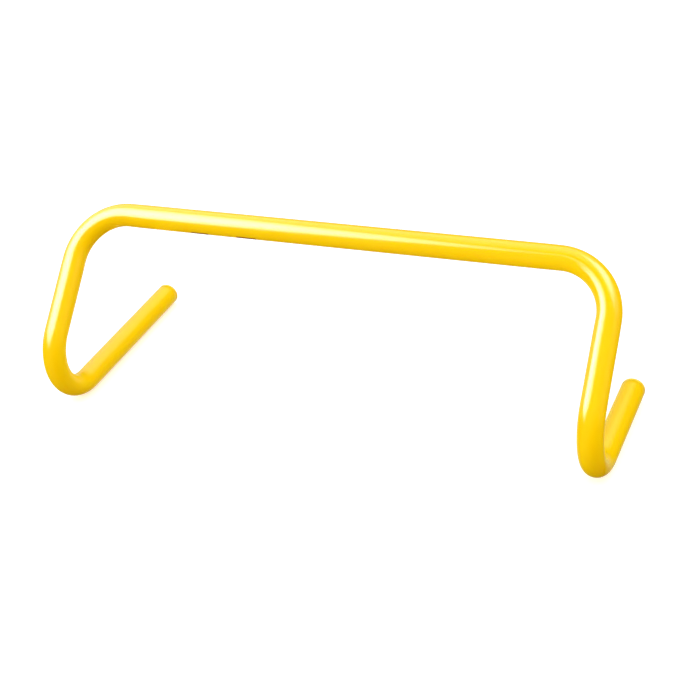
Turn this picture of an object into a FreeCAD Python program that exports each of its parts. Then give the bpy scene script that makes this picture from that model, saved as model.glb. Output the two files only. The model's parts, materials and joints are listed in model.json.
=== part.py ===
"""Agility hurdle: one plastic tube, bent into a bar, two leaning legs and two feet, with an end plug in each foot.

Frame, in millimetres: +X runs along the crossbar, +Y is the way the feet point, +Z is up.
The origin is on the floor, under the middle of the hurdle's overall box.
"""
import FreeCAD, Part
import math
import os

# Tube and overall size
TUBE_DIAMETER = 19.0
TUBE_WALL = 2.0
OVERALL_HEIGHT = 152.4
LEG_SPACING = 447.0

# Bends, as centreline radii, and the slope of the legs above the floor
TOP_BEND_RADIUS = 42.5
KNEE_BEND_RADIUS = 36.0
LEG_SLOPE_DEGREES = 43.3

# Straight stretch of each foot, from the knee bend to the end plug's outer face
LEFT_FOOT_LENGTH = 143.5
RIGHT_FOOT_LENGTH = 90.0

# End plug: a flush head that covers the cut end, and a hollow ribbed shank inside the bore
PLUG_HEAD_THICKNESS = 2.6
PLUG_RIM_RADIUS = 1.4
PLUG_SHANK_LENGTH = 13.0
PLUG_SHANK_WALL = 1.5
PLUG_LEAD_IN = 1.0
PLUG_RIB_COUNT = 3
PLUG_RIB_HEIGHT = 0.45
PLUG_RIB_WIDTH = 1.6
PLUG_RIB_PITCH = 3.4
PLUG_BORE_GAP = 0.02
BORE_CHAMFER = 0.5

# Worked out from the sizes above
TUBE_RADIUS = TUBE_DIAMETER / 2
BORE_RADIUS = TUBE_RADIUS - TUBE_WALL
LEG_SLOPE = math.radians(LEG_SLOPE_DEGREES)
BAR_RISE = OVERALL_HEIGHT - TUBE_DIAMETER
KNEE_RISE = KNEE_BEND_RADIUS * (1 + math.cos(LEG_SLOPE))
LEG_LENGTH = (BAR_RISE - KNEE_RISE) / math.sin(LEG_SLOPE) - TOP_BEND_RADIUS
BAR_LENGTH = LEG_SPACING - 2 * TOP_BEND_RADIUS
KNEE_TURN_DEGREES = 180 - LEG_SLOPE_DEGREES
TOP_TURN_DEGREES = 90
KNEE_Y = (KNEE_BEND_RADIUS + TUBE_RADIUS - LEFT_FOOT_LENGTH) / 2

X_AXIS = FreeCAD.Vector(1, 0, 0)
Y_AXIS = FreeCAD.Vector(0, 1, 0)
LEG_UP = FreeCAD.Vector(0, math.cos(LEG_SLOPE), math.sin(LEG_SLOPE))


def disc(centre, normal, radius):
    """A flat round face."""
    return Part.Face(Part.Wire(Part.makeCircle(radius, centre, normal)))


def rod_along_route(radius):
    """A solid round rod along the tube's whole centreline, from the left foot's end to the right foot's end."""
    left_end_y = KNEE_Y + LEFT_FOOT_LENGTH - PLUG_HEAD_THICKNESS
    place = FreeCAD.Vector(-LEG_SPACING / 2, left_end_y, TUBE_RADIUS)
    heading = FreeCAD.Vector(0, -1, 0)
    top_axis = LEG_UP.cross(X_AXIS)
    steps = [
        ("run", LEFT_FOOT_LENGTH - PLUG_HEAD_THICKNESS),
        ("bend", KNEE_BEND_RADIUS, KNEE_TURN_DEGREES, -X_AXIS),
        ("run", LEG_LENGTH),
        ("bend", TOP_BEND_RADIUS, TOP_TURN_DEGREES, top_axis),
        ("run", BAR_LENGTH),
        ("bend", TOP_BEND_RADIUS, TOP_TURN_DEGREES, top_axis),
        ("run", LEG_LENGTH),
        ("bend", KNEE_BEND_RADIUS, KNEE_TURN_DEGREES, X_AXIS),
        ("run", RIGHT_FOOT_LENGTH - PLUG_HEAD_THICKNESS),
    ]
    stretches = []
    for step in steps:
        section = disc(place, heading, radius)
        if step[0] == "run":
            length = step[1]
            stretches.append(section.extrude(heading * length))
            place = place + heading * length
        else:
            bend_radius, turn, axis = step[1:]
            centre = place + axis.cross(heading) * bend_radius
            stretches.append(section.revolve(centre, axis, turn))
            rotation = FreeCAD.Rotation(axis, turn)
            place = centre + rotation.multVec(place - centre)
            heading = rotation.multVec(heading)
    return stretches[0].multiFuse(stretches[1:]).removeSplitter()


def foot_ends():
    """The centre of each cut end of the tube."""
    left_y = KNEE_Y + LEFT_FOOT_LENGTH - PLUG_HEAD_THICKNESS
    right_y = KNEE_Y + RIGHT_FOOT_LENGTH - PLUG_HEAD_THICKNESS
    left = FreeCAD.Vector(-LEG_SPACING / 2, left_y, TUBE_RADIUS)
    right = FreeCAD.Vector(LEG_SPACING / 2, right_y, TUBE_RADIUS)
    return {"left": left, "right": right}


def make_tube():
    """The bent tube, open at both cut ends, with a small chamfer at the mouth of the bore."""
    tube = rod_along_route(TUBE_RADIUS).cut(rod_along_route(BORE_RADIUS))
    for end in foot_ends().values():
        mouth_radius = BORE_RADIUS + BORE_CHAMFER
        chamfer = Part.makeCone(mouth_radius, BORE_RADIUS, BORE_CHAMFER, end, -Y_AXIS)
        tube = tube.cut(chamfer)
    return tube.Solids[0]


def plug_outline():
    """Half the plug's section, as (distance from the axis, distance along it); 0 along is the tube's cut end."""
    root = BORE_RADIUS - PLUG_BORE_GAP - PLUG_RIB_HEIGHT
    tip = BORE_RADIUS - PLUG_BORE_GAP
    points = [(TUBE_RADIUS, 0), (root, 0)]
    for rib in range(PLUG_RIB_COUNT):
        start = -(PLUG_RIB_PITCH * (rib + 1) - PLUG_RIB_WIDTH)
        points.append((root, start))
        points.append((tip, start))
        points.append((root, start - PLUG_RIB_WIDTH))
    points.append((root, -PLUG_SHANK_LENGTH + PLUG_LEAD_IN))
    points.append((root - PLUG_LEAD_IN / 2, -PLUG_SHANK_LENGTH))
    inner = root - PLUG_SHANK_WALL
    points.append((inner, -PLUG_SHANK_LENGTH))
    points.append((inner, 0))
    points.append((0, 0))
    points.append((0, PLUG_HEAD_THICKNESS))
    points.append((TUBE_RADIUS - PLUG_RIM_RADIUS, PLUG_HEAD_THICKNESS))
    return points


def make_plug(cut_end):
    """One end plug, turned about the foot's axis, with a rounded outer rim."""
    corners = [FreeCAD.Vector(across, along, 0) for across, along in plug_outline()]
    edges = [Part.makeLine(a, b) for a, b in zip(corners, corners[1:])]
    rim_start = corners[-1]
    rim_end = FreeCAD.Vector(TUBE_RADIUS, PLUG_HEAD_THICKNESS - PLUG_RIM_RADIUS, 0)
    reach = PLUG_RIM_RADIUS * math.sqrt(0.5)
    rim_centre = rim_start - FreeCAD.Vector(0, PLUG_RIM_RADIUS, 0)
    rim_middle = rim_centre + FreeCAD.Vector(reach, reach, 0)
    edges.append(Part.Arc(rim_start, rim_middle, rim_end).toShape())
    edges.append(Part.makeLine(rim_end, corners[0]))
    section = Part.Face(Part.Wire(edges))
    plug = section.revolve(FreeCAD.Vector(0, 0, 0), Y_AXIS, 360)
    plug.translate(cut_end)
    return plug.Solids[0]


def export(shape, node):
    shape.exportStep("parts/" + node + ".step")
    box = shape.BoundBox
    print(node, shape.isValid(), round(shape.Volume, 1), [round(v, 2) for v in (
        box.XMin, box.XMax, box.YMin, box.YMax, box.ZMin, box.ZMax)])


os.makedirs("parts", exist_ok=True)
export(make_tube(), "hurdle_tube")
for side, cut_end in foot_ends().items():
    export(make_plug(cut_end), "end_plug_" + side)
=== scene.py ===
"""Agility hurdle: the finished surfaces of the bent yellow tube and its end plugs, on a plain pale floor.

Everything is in metres, in the frame's own axes: +X along the crossbar, +Y the way the feet point, +Z up.
"""
import bpy
import json
import math
from mathutils import Matrix, Vector


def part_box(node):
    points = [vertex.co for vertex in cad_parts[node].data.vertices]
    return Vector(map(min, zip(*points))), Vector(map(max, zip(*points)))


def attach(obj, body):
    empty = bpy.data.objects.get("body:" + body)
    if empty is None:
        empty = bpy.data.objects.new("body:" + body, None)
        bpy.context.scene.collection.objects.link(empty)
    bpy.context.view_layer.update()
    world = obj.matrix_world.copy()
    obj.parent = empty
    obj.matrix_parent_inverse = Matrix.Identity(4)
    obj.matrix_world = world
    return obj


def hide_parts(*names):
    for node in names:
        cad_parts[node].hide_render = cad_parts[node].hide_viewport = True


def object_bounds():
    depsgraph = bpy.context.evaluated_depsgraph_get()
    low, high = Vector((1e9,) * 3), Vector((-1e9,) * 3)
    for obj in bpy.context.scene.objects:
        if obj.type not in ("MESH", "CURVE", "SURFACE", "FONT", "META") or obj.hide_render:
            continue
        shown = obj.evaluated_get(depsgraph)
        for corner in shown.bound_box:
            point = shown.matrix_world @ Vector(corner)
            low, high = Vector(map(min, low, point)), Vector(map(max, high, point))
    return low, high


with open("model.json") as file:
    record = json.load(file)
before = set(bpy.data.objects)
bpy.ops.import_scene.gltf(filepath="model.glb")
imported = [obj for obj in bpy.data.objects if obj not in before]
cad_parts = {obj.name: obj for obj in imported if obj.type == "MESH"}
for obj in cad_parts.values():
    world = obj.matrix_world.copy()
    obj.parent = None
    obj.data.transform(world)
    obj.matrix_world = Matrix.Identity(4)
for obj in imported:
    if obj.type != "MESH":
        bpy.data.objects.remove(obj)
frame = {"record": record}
cad_low, cad_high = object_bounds()

MM = 0.001

# Mesh fineness. Rings are spaced by RUN_STEP on straight runs, and the bore has every third one.
TUBE_SIDES = 96
PLUG_SIDES = 96
FLOOR_SIDES = 96
RUN_STEP = 4 * MM
BEND_STEP_DEGREES = 2.0
FEWEST_STEPS = 2
BORE_RING_STRIDE = 3
RIM_STEPS = 12
SEAM_STEPS = 4

# How a bent tube differs from a perfect one, as shares of its radius, and how far past each bend that fades
BEND_FLATTENING = 0.030
BEND_WIDENING = 0.015
BEND_FADE = 14 * MM

# The tube's wall and its cut ends
TUBE_WALL = 2.0 * MM
END_CHAMFER = 0.25 * MM
BORE_CHAMFER = 0.5 * MM

# The plugs' heads: rounded rim, seam against the tube, shallow dish and gate mark
RIM_RADIUS = 1.4 * MM
RIM_FLAT = 1.2 * MM
SEAM_ROUND = 0.15 * MM
DISH_DEPTH = 0.3 * MM
DISH_RING_SHARES = (0.3, 0.5, 0.7, 0.85)
DISH_SIDE_SHARE = 0.3
DISH_LIP_SHARE = 0.4
GATE_RADIUS = 0.8 * MM
GATE_TOP_SHARE = 0.8
GATE_HEIGHT = 0.15 * MM

# The plugs' ribbed shanks
PLUG_GAP = 0.02 * MM
RIB_COUNT = 3
RIB_HEIGHT = 0.45 * MM
RIB_WIDTH = 1.6 * MM
RIB_PITCH = 3.4 * MM
RIB_FRONT_SHARE = 0.2
RIB_CREST_DROP = 0.1 * MM
RIB_CREST_RUN = 0.15 * MM
SHANK_WALL = 1.5 * MM
LEAD_IN = 1.0 * MM

# Colours
YELLOW = (0.95, 0.620, 0.001, 1.0)
YELLOW_DEEP = (0.95, 0.595, 0.001, 1.0)
YELLOW_PALE = (0.95, 0.640, 0.003, 1.0)
PLUG_YELLOW = (0.95, 0.610, 0.001, 1.0)
PRINT_COLOUR = (0.270, 0.080, 0.006, 1.0)
FLOOR_PALE = (0.94, 0.94, 0.935, 1.0)
FLOOR_PALER = (0.96, 0.96, 0.955, 1.0)
WHITE = (1.0, 1.0, 1.0, 1.0)

# Printed bars on the crossbar: start and end along X from its middle. The way they face is an angle round
# the bar, from +Y towards +Z.
PRINT_BARS = [(-121.4 * MM, -105.9 * MM), (-80.9 * MM, -63.4 * MM)]
PRINT_ANGLE_DEGREES = 236.0
PRINT_HALF_WIDTH_DEGREES = 23.0
PRINT_EDGE_DEGREES = 1.5
PRINT_EDGE = 0.3 * MM
PRINT_RAGGEDNESS = 0.35 * MM

# Noise along the tube: scale (across, across, along), detail, roughness
PIGMENT_DRIFT = ((60, 60, 12), 3.0, 0.5)
DRAW_LINES = ((2200, 2200, 6), 2.0, 0.6)
SCUFFS = ((900, 900, 160), 5.0, 0.75)
GLOSS_PATCHES = ((90, 90, 30), 4.0, 0.6)

# Noise with one scale all ways: scale, detail, roughness
PRINT_WEAR = (1400.0, 4.0, 0.7)
ORANGE_PEEL = (420.0, 2.0, 0.5)
PLUG_FLOW = (160.0, 3.0, 0.5)
PLUG_GRAIN = (2600.0, 3.0, 0.6)
FLOOR_MOTTLE = (3.0, 2.0, 0.5)

# What a noise or a height turns into: from low, from high, to low, to high
DRIFT_TO_COLOUR = (0.35, 0.65, 0.0, 1.0)
LINES_TO_COLOUR = (0.45, 0.75, 0.0, 0.20)
WEAR_TO_PRINT = (0.30, 0.42, 0.35, 0.92)
HEIGHT_TO_UNDERSIDE = (1.6 * MM, 0.2 * MM, 0.0, 1.0)
NOISE_TO_SCUFFS = (0.45, 0.6, 0.0, 1.0)
PATCHES_TO_ROUGHNESS = (0.3, 0.7, 0.09, 0.13)
LINES_TO_ROUGHNESS = (0.4, 0.8, 0.0, 0.03)
SCUFF_ROUGHNESS = 0.30
NOISE_TO_MIX = (0.3, 0.7, 0.0, 1.0)
GRAIN_TO_ROUGHNESS = (0.3, 0.7, 0.28, 0.40)

# Relief: how deep a bump is and how strongly it shows
LINES_RELIEF = (0.02 * MM, 0.12)
PEEL_RELIEF = (0.03 * MM, 0.30)
SCUFF_RELIEF = (0.05 * MM, 0.5)
GRAIN_RELIEF = (0.02 * MM, 0.4)
FLOW_RELIEF = (0.05 * MM, 0.2)

# Plastic: index of refraction, then how light scatters under the skin, as weight, radius and scale
PLASTIC_IOR = 1.50
TUBE_SCATTER = (0.25, (1.0, 0.35, 0.05), 3.0 * MM)
PLUG_SCATTER = (0.12, (1.0, 0.55, 0.10), 1.2 * MM)

# Floor
FLOOR_RADIUS = 25.0
FLOOR_ROUGHNESS = 0.7
FLOOR_SPECULAR = 0.2
FLOOR_GLOW = 0.28

# Surrounding light: its strength all round, then two lobes, each as azimuth, elevation and spread in degrees
WORLD_STRENGTH = 0.92
WORLD_FRONT = (40, 0, 120)
WORLD_FRONT_STRENGTH = 1.10
WORLD_WARM = (44, -26, 73)
WORLD_WARM_TINT = (0.18, 0.0, 0.0, 1.0)

# Soft panels: name, azimuth and elevation in degrees, distance, width, height, radiance.
# The backdrop reaches below the floor, so the tube's edges stay bright where they mirror what is behind it.
PANELS = [
    ("key", -57.5, 41.7, 0.68, 0.90, 0.83, 17.5),
    ("key_fill", -57.5, 41.7, 0.68, 0.90, 0.83, 3.0),
    ("right", 106, 47.8, 0.58, 0.48, 0.39, 8.5),
    ("overhead", 180, 68, 0.80, 6.0, 1.30, 1.5),
    ("backdrop", 207, -28, 2.6, 7.0, 3.8, 0.75),
    ("right_wall", 98, 10, 2.6, 3.2, 2.6, 0.22),
    ("left_wall", -112, 22, 2.6, 4.6, 3.4, 1.2),
    ("back_wall", -170, 44, 2.6, 4.0, 2.8, 0.4),
]
PANELS_OUT_OF_GLOSS = ["key_fill"]
PANEL_TINTS = {"backdrop": (1.0, 0.95, 0.65)}
PLAIN_TINT = (1.0, 1.0, 1.0)

# Camera
LENS = 75.0
SENSOR = 36.0
CLIP_START = 0.05
CLIP_END = 100.0
CAMERA_AIM = Vector((8.7 * MM, -11.7 * MM, 47.3 * MM))
CAMERA_DISTANCE = 1160.5 * MM
CAMERA_AZIMUTH_DEGREES = 26.90
CAMERA_ELEVATION_DEGREES = 32.28
CAMERA_ROLL_DEGREES = 7.67


# ---------------------------------------------------------------- the tube's route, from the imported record

MOUNTS = {mount["name"]: mount for mount in frame["record"]["mounts"]}


def mount_place(name):
    return Vector(MOUNTS[name]["pos_m"])


def mount_size(name, key):
    return MOUNTS[name]["dims"][key] * MM


TUBE_RADIUS = mount_size("crossbar", "r_mm")
BORE_RADIUS = TUBE_RADIUS - TUBE_WALL
BAR_LENGTH = mount_size("crossbar", "length_mm")
BAR_CENTRE = mount_place("crossbar")
HALF_SPACING = mount_place("right_foot_end").x
TOP_BEND_RADIUS = HALF_SPACING - BAR_LENGTH / 2
KNEE_Y = mount_place("right_foot_end").y - mount_size("right_foot_end", "length_mm") / 2
KNEE_BEND_RADIUS = KNEE_Y - cad_low.y - TUBE_RADIUS
KNEE_CENTRE = Vector((0, KNEE_Y, TUBE_RADIUS + KNEE_BEND_RADIUS))

# The line of each leg is tangent to its knee bend and, seen from the side, passes through the bar's centre
KNEE_TO_BAR = BAR_CENTRE - KNEE_CENTRE
LEG_REACH = math.sqrt(KNEE_TO_BAR.y ** 2 + KNEE_TO_BAR.z ** 2 - KNEE_BEND_RADIUS ** 2)
LEG_SLOPE = math.atan2(KNEE_TO_BAR.z, KNEE_TO_BAR.y) - math.atan2(KNEE_BEND_RADIUS, LEG_REACH)
LEG_LENGTH = LEG_REACH - TOP_BEND_RADIUS
LEG_UP = Vector((0, math.cos(LEG_SLOPE), math.sin(LEG_SLOPE)))
X_AXIS = Vector((1, 0, 0))

# Angles that the knee and top bends turn through
KNEE_TURN = math.pi - LEG_SLOPE
TOP_TURN = math.pi / 2

# The tube's cut ends, where the plugs' heads sit
LEFT_CUT_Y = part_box("hurdle_tube")[1].y
RIGHT_CUT_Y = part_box("end_plug_right")[1].y - (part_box("end_plug_left")[1].y - LEFT_CUT_Y)
HEAD_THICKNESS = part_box("end_plug_left")[1].y - LEFT_CUT_Y
SHANK_LENGTH = LEFT_CUT_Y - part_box("end_plug_left")[0].y


def smooth(t):
    """0 up to t = 0 and 1 from t = 1, with an even rise between."""
    t = min(max(t, 0.0), 1.0)
    return t * t * (3 - 2 * t)


def route():
    """Rings along the tube's centreline, as (centre, heading, across, distance), and its bends.

    Each bend is (start distance, end distance, axis). `across` is carried along without twist, so the
    rings of one stretch join those of the next."""
    place = Vector((-HALF_SPACING, LEFT_CUT_Y, TUBE_RADIUS))
    heading = Vector((0, -1, 0))
    across = X_AXIS.copy()
    top_axis = LEG_UP.cross(X_AXIS)
    steps = [
        ("run", LEFT_CUT_Y - KNEE_Y, None, None),
        ("bend", KNEE_BEND_RADIUS, KNEE_TURN, -X_AXIS),
        ("run", LEG_LENGTH, None, None),
        ("bend", TOP_BEND_RADIUS, TOP_TURN, top_axis),
        ("run", BAR_LENGTH, None, None),
        ("bend", TOP_BEND_RADIUS, TOP_TURN, top_axis),
        ("run", LEG_LENGTH, None, None),
        ("bend", KNEE_BEND_RADIUS, KNEE_TURN, X_AXIS),
        ("run", RIGHT_CUT_Y - KNEE_Y, None, None),
    ]
    rings = [(place.copy(), heading.copy(), across.copy(), 0.0)]
    bends = []
    travelled = 0.0
    for kind, size, turn, axis in steps:
        if kind == "run":
            count = max(FEWEST_STEPS, round(size / RUN_STEP))
            for i in range(1, count + 1):
                at = place + heading * (size * i / count)
                rings.append((at, heading.copy(), across.copy(), travelled + size * i / count))
            place = place + heading * size
            travelled += size
        else:
            centre = place + axis.cross(heading) * size
            count = max(FEWEST_STEPS, round(math.degrees(turn) / BEND_STEP_DEGREES))
            length = size * turn
            for i in range(1, count + 1):
                spin = Matrix.Rotation(turn * i / count, 3, axis)
                at = centre + spin @ (place - centre)
                rings.append((at, spin @ heading, spin @ across, travelled + length * i / count))
            spin = Matrix.Rotation(turn, 3, axis)
            place = centre + spin @ (place - centre)
            heading = spin @ heading
            across = spin @ across
            bends.append((travelled, travelled + length, axis))
            travelled += length
    return rings, bends


def bend_strength(distance, bends):
    """How much of a bend's distortion a ring has, and that bend's axis.

    It is 0 on a straight run and rises to 1 inside a bend."""
    for start, end, axis in bends:
        if start - BEND_FADE < distance < end + BEND_FADE:
            rise = smooth((distance - start + BEND_FADE) / (2 * BEND_FADE))
            fall = smooth((end + BEND_FADE - distance) / (2 * BEND_FADE))
            return rise * fall, axis
    return 0.0, X_AXIS


def ring_points(ring, bends, radius, sides):
    """Points round one ring: a circle on a straight run, slightly flattened and widened inside a bend."""
    centre, heading, across, distance = ring
    strength, axis = bend_strength(distance, bends)
    flatten = 1 - BEND_FLATTENING * strength
    widen = 1 + BEND_WIDENING * strength
    towards_bend = axis.cross(heading)
    up = heading.cross(across)
    points = []
    for i in range(sides):
        angle = 2 * math.pi * i / sides
        arm = across * math.cos(angle) + up * math.sin(angle)
        if strength > 0.0:
            in_plane = towards_bend * arm.dot(towards_bend)
            off_plane = axis * arm.dot(axis)
            rest = arm - in_plane - off_plane
            arm = in_plane * flatten + off_plane * widen + rest
        points.append(centre + arm * radius)
    return points


def make_object(name, verts, faces):
    mesh = bpy.data.meshes.new(name)
    mesh.from_pydata([tuple(v) for v in verts], [], faces)
    mesh.validate()
    mesh.polygons.foreach_set("use_smooth", [True] * len(mesh.polygons))
    mesh.update()
    piece = bpy.data.objects.new(name, mesh)
    bpy.context.scene.collection.objects.link(piece)
    return piece


def band(first, second, sides, flip=False):
    """Quads between two rings of points that start at vertex numbers `first` and `second`."""
    quads = []
    for i in range(sides):
        j = (i + 1) % sides
        quad = (first + i, first + j, second + j, second + i)
        quads.append(tuple(reversed(quad)) if flip else quad)
    return quads


def make_tube():
    """The tube's outside from the left cut end to the right one, then its bore all the way back.

    The attribute along_tube gives each point's place on an unbent tube: two across it, one along it."""
    rings, bends = route()
    verts, faces, coords = [], [], []

    def add_ring(ring, radius, shift=0.0):
        start = len(verts)
        moved = (ring[0] + ring[1] * shift, ring[1], ring[2], ring[3])
        for i, point in enumerate(ring_points(moved, bends, radius, TUBE_SIDES)):
            angle = 2 * math.pi * i / TUBE_SIDES
            verts.append(point)
            coords.append((TUBE_RADIUS * math.cos(angle), TUBE_RADIUS * math.sin(angle), ring[3]))
        return start

    first, last = rings[0], rings[-1]
    starts = [add_ring(first, BORE_RADIUS + BORE_CHAMFER)]
    starts.append(add_ring(first, TUBE_RADIUS - END_CHAMFER))
    starts.append(add_ring(first, TUBE_RADIUS, END_CHAMFER))
    for ring in rings[1:-1]:
        starts.append(add_ring(ring, TUBE_RADIUS))
    starts.append(add_ring(last, TUBE_RADIUS, -END_CHAMFER))
    starts.append(add_ring(last, TUBE_RADIUS - END_CHAMFER))
    starts.append(add_ring(last, BORE_RADIUS + BORE_CHAMFER))
    starts.append(add_ring(last, BORE_RADIUS, -BORE_CHAMFER))
    for ring in reversed(rings[1:-1:BORE_RING_STRIDE]):
        starts.append(add_ring(ring, BORE_RADIUS))
    starts.append(add_ring(first, BORE_RADIUS, BORE_CHAMFER))
    for a, b in zip(starts, starts[1:] + starts[:1]):
        faces.extend(band(a, b, TUBE_SIDES))
    tube = make_object("bent_tube", verts, faces)
    attribute = tube.data.attributes.new("along_tube", "FLOAT_VECTOR", "POINT")
    attribute.data.foreach_set("vector", [c for point in coords for c in point])
    return tube


# ---------------------------------------------------------------- end plugs

def arc(centre, radius, start_degrees, end_degrees, count):
    """Points of a rounded corner, as (distance from the axis, distance along it)."""
    points = []
    for i in range(count + 1):
        angle = math.radians(start_degrees + (end_degrees - start_degrees) * i / count)
        points.append((centre[0] + radius * math.cos(angle), centre[1] + radius * math.sin(angle)))
    return points


def plug_profile():
    """The plug's outline from the middle of its face, over the rim and the ribbed shank, into its hollow.

    0 along is the tube's cut end; the face looks towards +."""
    face = HEAD_THICKNESS
    dish = face - DISH_DEPTH
    gate = dish + GATE_HEIGHT
    root = BORE_RADIUS - PLUG_GAP - RIB_HEIGHT
    tip = BORE_RADIUS - PLUG_GAP
    rim = TUBE_RADIUS - RIM_RADIUS
    dish_edge = rim - RIM_FLAT
    points = [(0.0, gate), (GATE_RADIUS * GATE_TOP_SHARE, gate), (GATE_RADIUS, dish)]
    points += [(dish_edge * share, dish) for share in DISH_RING_SHARES]
    points += [(dish_edge - DISH_DEPTH, dish), (dish_edge, face - DISH_DEPTH * DISH_SIDE_SHARE)]
    points += [(dish_edge + RIM_FLAT * DISH_LIP_SHARE, face)]
    points += arc((rim, face - RIM_RADIUS), RIM_RADIUS, 90, 0, RIM_STEPS)
    points += arc((TUBE_RADIUS - SEAM_ROUND, SEAM_ROUND), SEAM_ROUND, 0, -90, SEAM_STEPS)
    points += [(root, 0.0)]
    for rib in range(RIB_COUNT):
        start = -(RIB_PITCH * (rib + 1) - RIB_WIDTH)
        points += [(root, start + RIB_HEIGHT * RIB_FRONT_SHARE), (tip - RIB_CREST_DROP, start)]
        points += [(tip, start - RIB_CREST_RUN), (root, start - RIB_WIDTH)]
    inner = root - SHANK_WALL
    points += [(root, -SHANK_LENGTH + LEAD_IN), (root - LEAD_IN / 2, -SHANK_LENGTH)]
    points += [(inner, -SHANK_LENGTH), (inner, 0.0), (0.0, 0.0)]
    return points


def make_plug(name, cut_end):
    """The plug's outline turned about the foot's axis."""
    verts, faces = [], []
    rows = []
    for across, along in plug_profile():
        rows.append(len(verts))
        if across == 0.0:
            verts.append(cut_end + Vector((0, along, 0)))
            continue
        for i in range(PLUG_SIDES):
            angle = 2 * math.pi * i / PLUG_SIDES
            verts.append(cut_end + Vector((across * math.cos(angle), along, across * math.sin(angle))))
    for row in range(1, len(rows) - 2):
        faces.extend(band(rows[row], rows[row + 1], PLUG_SIDES, flip=True))
    last = rows[-2]
    for i in range(PLUG_SIDES):
        j = (i + 1) % PLUG_SIDES
        faces.append((rows[0], rows[1] + j, rows[1] + i))
        faces.append((rows[-1], last + i, last + j))
    return make_object(name, verts, faces)


# ---------------------------------------------------------------- materials

class Nodes:
    """A short way to add nodes to the node tree of a material, a lamp or the world."""

    def __init__(self, tree):
        self.tree = tree

    def add(self, kind, inputs=None, **settings):
        node = self.tree.nodes.new(kind)
        for key, value in settings.items():
            setattr(node, key, value)
        for key, value in (inputs or {}).items():
            self.feed(node.inputs[key], value)
        return node

    def feed(self, socket, value):
        if isinstance(value, bpy.types.NodeSocket):
            self.tree.links.new(value, socket)
        else:
            socket.default_value = value

    def coordinates(self, kind):
        return self.add("ShaderNodeTexCoord").outputs[kind]

    def split(self, vector):
        return self.add("ShaderNodeSeparateXYZ", {"Vector": vector}).outputs

    def math(self, operation, first, second=0.0, third=0.0):
        node = self.add("ShaderNodeMath", {0: first, 1: second, 2: third}, operation=operation)
        return node.outputs[0]

    def noise(self, vector, scale, detail, roughness):
        values = {"Vector": vector, "Scale": scale, "Detail": detail, "Roughness": roughness}
        return self.add("ShaderNodeTexNoise", values).outputs["Fac"]

    def stretched_noise(self, vector, scale, detail, roughness):
        stretched = self.add("ShaderNodeMapping", {"Vector": vector, "Scale": scale}).outputs["Vector"]
        return self.noise(stretched, 1.0, detail, roughness)

    def remap(self, value, low, high, new_low, new_high):
        values = {"Value": value, "From Min": low, "From Max": high, "To Min": new_low, "To Max": new_high}
        return self.add("ShaderNodeMapRange", values).outputs["Result"]

    def mix(self, amount, first, second):
        """A blend of two colours, which a Mix node takes at sockets 6 and 7 and gives at output 2."""
        values = {"Factor": amount, 6: first, 7: second}
        return self.add("ShaderNodeMix", values, data_type="RGBA").outputs[2]

    def bump(self, height, distance, strength, normal=None):
        values = {"Height": height, "Distance": distance, "Strength": strength}
        if normal is not None:
            values["Normal"] = normal
        return self.add("ShaderNodeBump", values).outputs["Normal"]


def new_material(name):
    material = bpy.data.materials.new(name)
    material.use_nodes = True
    surface = material.node_tree.nodes["Principled BSDF"]
    return material, Nodes(material.node_tree), surface


def set_plastic(surface, weight, radius, scale):
    surface.inputs["IOR"].default_value = PLASTIC_IOR
    surface.inputs["Subsurface Weight"].default_value = weight
    surface.inputs["Subsurface Radius"].default_value = radius
    surface.inputs["Subsurface Scale"].default_value = scale


def distance_to_bar_middle():
    """Distance along the tube from the left foot's cut end to the crossbar's middle."""
    knee = KNEE_BEND_RADIUS * KNEE_TURN
    top = TOP_BEND_RADIUS * TOP_TURN
    return (LEFT_CUT_Y - KNEE_Y) + knee + LEG_LENGTH + top + BAR_LENGTH / 2


def print_facing():
    """How much the way the print faces agrees with each of the crossbar rings' two directions."""
    rings = route()[0]
    middle = min(rings, key=lambda ring: (ring[0] - BAR_CENTRE).length)
    heading, across = middle[1], middle[2]
    angle = math.radians(PRINT_ANGLE_DEGREES)
    facing = Vector((0, math.cos(angle), math.sin(angle)))
    return facing.dot(across), facing.dot(heading.cross(across))


def printed_bars(n, along, wear):
    """How strongly each point of the tube is printed on: plain bars with slightly worn edges and faces."""
    x, y, distance = n.split(along)
    x_share, y_share = print_facing()
    facing = n.math("MULTIPLY", y, y_share / TUBE_RADIUS)
    facing = n.math("MULTIPLY_ADD", x, x_share / TUBE_RADIUS, facing)
    outer = math.cos(math.radians(PRINT_HALF_WIDTH_DEGREES + PRINT_EDGE_DEGREES))
    inner = math.cos(math.radians(PRINT_HALF_WIDTH_DEGREES))
    on_side = n.remap(facing, outer, inner, 0.0, 1.0)
    ragged = n.remap(wear, 0.0, 1.0, -PRINT_RAGGEDNESS, PRINT_RAGGEDNESS)
    ragged_distance = n.math("ADD", distance, ragged)
    bars = None
    for first, last in PRINT_BARS:
        middle = distance_to_bar_middle() + (first + last) / 2
        half = (last - first) / 2
        away = n.math("ABSOLUTE", n.math("SUBTRACT", ragged_distance, middle))
        bar = n.remap(away, half, half - PRINT_EDGE, 0.0, 1.0)
        bars = bar if bars is None else n.math("MAXIMUM", bars, bar)
    return n.math("MULTIPLY", n.math("MULTIPLY", bars, on_side), n.remap(wear, *WEAR_TO_PRINT))


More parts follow.
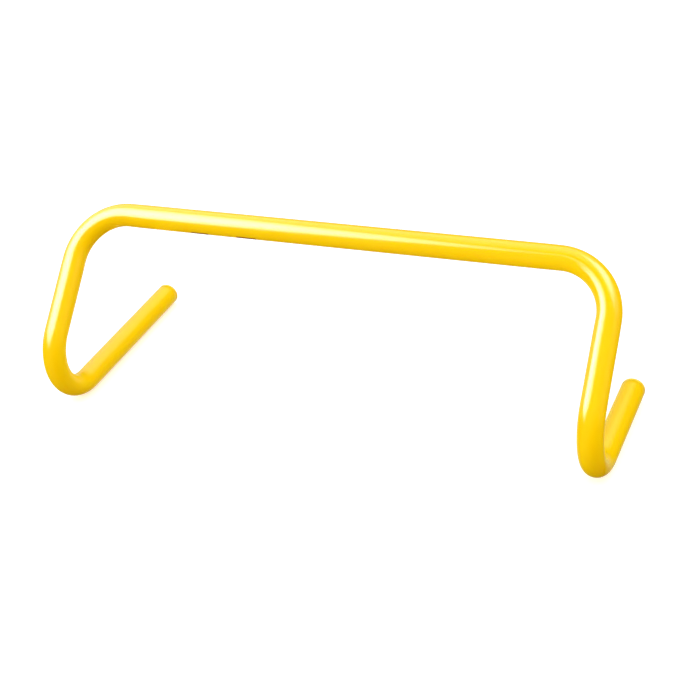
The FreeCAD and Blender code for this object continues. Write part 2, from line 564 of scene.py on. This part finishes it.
def tube_material():
    material, n, surface = new_material("yellow_tube")
    along = n.add("ShaderNodeAttribute", attribute_name="along_tube").outputs["Vector"]
    place = n.coordinates("Object")

    # Colour: slow pigment drift, faint draw lines along the tube, and the printed bars
    drift = n.stretched_noise(along, *PIGMENT_DRIFT)
    lines = n.stretched_noise(along, *DRAW_LINES)
    wear = n.noise(place, *PRINT_WEAR)
    colour = n.mix(n.remap(drift, *DRIFT_TO_COLOUR), YELLOW_DEEP, YELLOW)
    colour = n.mix(n.remap(lines, *LINES_TO_COLOUR), colour, YELLOW_PALE)
    colour = n.mix(printed_bars(n, along, wear), colour, PRINT_COLOUR)
    n.feed(surface.inputs["Base Color"], colour)

    # Gloss: smooth extruded skin, duller along draw lines, scuffed where it lies on the ground
    underside = n.remap(n.split(place)["Z"], *HEIGHT_TO_UNDERSIDE)
    scuffs = n.remap(n.stretched_noise(along, *SCUFFS), *NOISE_TO_SCUFFS)
    scuffed = n.math("MULTIPLY", underside, scuffs)
    patches = n.stretched_noise(along, *GLOSS_PATCHES)
    rough = n.remap(patches, *PATCHES_TO_ROUGHNESS)
    rough = n.math("ADD", rough, n.remap(lines, *LINES_TO_ROUGHNESS))
    rough = n.math("ADD", rough, n.math("MULTIPLY", scuffed, SCUFF_ROUGHNESS))
    n.feed(surface.inputs["Roughness"], rough)

    # Relief: long shallow draw lines, a fine orange peel, and the scuffs
    peel = n.noise(place, *ORANGE_PEEL)
    normal = n.bump(lines, *LINES_RELIEF)
    normal = n.bump(peel, *PEEL_RELIEF, normal)
    normal = n.bump(scuffed, *SCUFF_RELIEF, normal)
    n.feed(surface.inputs["Normal"], normal)
    set_plastic(surface, *TUBE_SCATTER)
    return material


def plug_material():
    """Moulded plastic: a finer, duller grain than the tube's, over a soft unevenness from the moulding."""
    material, n, surface = new_material("yellow_plug")
    place = n.coordinates("Object")
    flow = n.noise(place, *PLUG_FLOW)
    grain = n.noise(place, *PLUG_GRAIN)
    n.feed(surface.inputs["Base Color"], n.mix(n.remap(flow, *NOISE_TO_MIX), PLUG_YELLOW, YELLOW_DEEP))
    n.feed(surface.inputs["Roughness"], n.remap(grain, *GRAIN_TO_ROUGHNESS))
    normal = n.bump(grain, *GRAIN_RELIEF)
    normal = n.bump(flow, *FLOW_RELIEF, normal)
    n.feed(surface.inputs["Normal"], normal)
    set_plastic(surface, *PLUG_SCATTER)
    return material


def floor_material():
    """Pale and nearly even, with a slight glow of its own so that contact shadows stay faint."""
    material, n, surface = new_material("pale_floor")
    mottle = n.noise(n.coordinates("Object"), *FLOOR_MOTTLE)
    n.feed(surface.inputs["Base Color"], n.mix(n.remap(mottle, *NOISE_TO_MIX), FLOOR_PALE, FLOOR_PALER))
    surface.inputs["Roughness"].default_value = FLOOR_ROUGHNESS
    surface.inputs["Specular IOR Level"].default_value = FLOOR_SPECULAR
    surface.inputs["Emission Color"].default_value = WHITE
    surface.inputs["Emission Strength"].default_value = FLOOR_GLOW
    return material


# ---------------------------------------------------------------- the pieces

tube = make_tube()
tube.data.materials.append(tube_material())
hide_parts("hurdle_tube")
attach(tube, "root")

plug_finish = plug_material()
plug_ends = {
    "left": Vector((-HALF_SPACING, LEFT_CUT_Y, TUBE_RADIUS)),
    "right": Vector((HALF_SPACING, RIGHT_CUT_Y, TUBE_RADIUS)),
}
for side, cut_end in plug_ends.items():
    plug = make_plug("end_plug_cap_" + side, cut_end)
    plug.data.materials.append(plug_finish)
    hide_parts("end_plug_" + side)
    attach(plug, "root")


# ---------------------------------------------------------------- floor, light and camera

def direction(azimuth_degrees, elevation_degrees):
    """Unit vector from the object towards a light or camera; azimuth 0 is -Y and 90 is +X."""
    a = math.radians(azimuth_degrees)
    e = math.radians(elevation_degrees)
    return Vector((math.sin(a) * math.cos(e), -math.cos(a) * math.cos(e), math.sin(e)))


def add_floor():
    """A wide disc that the camera sees. It isn't mirrored in the plastic and neither lights nor shades it."""
    mesh = bpy.data.meshes.new("floor")
    verts = []
    for i in range(FLOOR_SIDES):
        angle = 2 * math.pi * i / FLOOR_SIDES
        verts.append((FLOOR_RADIUS * math.cos(angle), FLOOR_RADIUS * math.sin(angle), 0.0))
    mesh.from_pydata(verts, [], [tuple(range(FLOOR_SIDES))])
    floor = bpy.data.objects.new("floor", mesh)
    bpy.context.scene.collection.objects.link(floor)
    floor.data.materials.append(floor_material())
    floor.visible_glossy = False
    floor.visible_diffuse = False
    floor.visible_shadow = False


def add_panel(name, azimuth, elevation, distance, width, height, radiance):
    """A soft panel, brightest in the middle and fading to nothing at its edges.

    It either shows in the gloss only or lights the surfaces without showing in their gloss."""
    light = bpy.data.lights.new(name, "AREA")
    light.shape = "RECTANGLE"
    light.size = width
    light.size_y = height
    light.energy = radiance * math.pi * width * height
    light.color = PANEL_TINTS.get(name, PLAIN_TINT)
    light.use_nodes = True
    n = Nodes(light.node_tree)
    across, up, _ = n.split(n.coordinates("Object"))
    across_fade = n.math("COSINE", n.math("MULTIPLY", across, math.pi / width))
    up_fade = n.math("COSINE", n.math("MULTIPLY", up, math.pi / height))
    emission = light.node_tree.nodes["Emission"]
    n.feed(emission.inputs["Strength"], n.math("MULTIPLY", across_fade, up_fade))
    lamp = bpy.data.objects.new(name, light)
    in_gloss = name not in PANELS_OUT_OF_GLOSS
    lamp.visible_diffuse = not in_gloss
    lamp.visible_glossy = in_gloss
    towards = direction(azimuth, elevation)
    lamp.location = Vector((0, 0, BAR_CENTRE.z / 2)) + towards * distance
    lamp.rotation_euler = (-towards).to_track_quat("-Z", "Y").to_euler()
    bpy.context.scene.collection.objects.link(lamp)


def add_world():
    """Soft white light from all round: stronger from the front right, dim and red from low on that side.

    It lights the surfaces but isn't seen in their gloss; the camera sees it as plain white."""
    world = bpy.data.worlds.new("studio")
    world.use_nodes = True
    bpy.context.scene.world = world
    world.cycles_visibility.glossy = False
    n = Nodes(world.node_tree)
    ray = n.coordinates("Generated")

    def lobe(azimuth, elevation, spread_degrees):
        """1 in one direction, falling smoothly to 0 at `spread_degrees` from it."""
        values = {0: ray, 1: direction(azimuth, elevation)}
        agreement = n.add("ShaderNodeVectorMath", values, operation="DOT_PRODUCT").outputs["Value"]
        values = {"Value": agreement, "From Min": math.cos(math.radians(spread_degrees))}
        return n.add("ShaderNodeMapRange", values, interpolation_type="SMOOTHSTEP").outputs["Result"]

    def grey(level):
        return (level, level, level, 1.0)

    light = n.mix(lobe(*WORLD_FRONT), grey(WORLD_STRENGTH), grey(WORLD_STRENGTH + WORLD_FRONT_STRENGTH))
    light = n.mix(lobe(*WORLD_WARM), light, WORLD_WARM_TINT)
    seen = n.add("ShaderNodeLightPath").outputs["Is Camera Ray"]
    background = world.node_tree.nodes["Background"]
    n.feed(background.inputs["Color"], n.mix(seen, light, WHITE))
    background.inputs["Strength"].default_value = 1.0


def add_camera():
    data = bpy.data.cameras.new("camera")
    data.lens = LENS
    data.sensor_width = SENSOR
    data.sensor_fit = "HORIZONTAL"
    data.clip_start = CLIP_START
    data.clip_end = CLIP_END
    camera = bpy.data.objects.new("camera", data)
    towards = direction(CAMERA_AZIMUTH_DEGREES, CAMERA_ELEVATION_DEGREES)
    level = (-towards).to_track_quat("-Z", "Y").to_matrix()
    roll = Matrix.Rotation(math.radians(-CAMERA_ROLL_DEGREES), 3, "Z")
    place = Matrix.Translation(CAMERA_AIM + towards * CAMERA_DISTANCE)
    camera.matrix_world = place @ (level @ roll).to_4x4()
    bpy.context.scene.collection.objects.link(camera)
    bpy.context.scene.camera = camera


add_floor()
add_world()
for panel in PANELS:
    add_panel(*panel)
add_camera()
bpy.context.scene.view_settings.view_transform = "Standard"
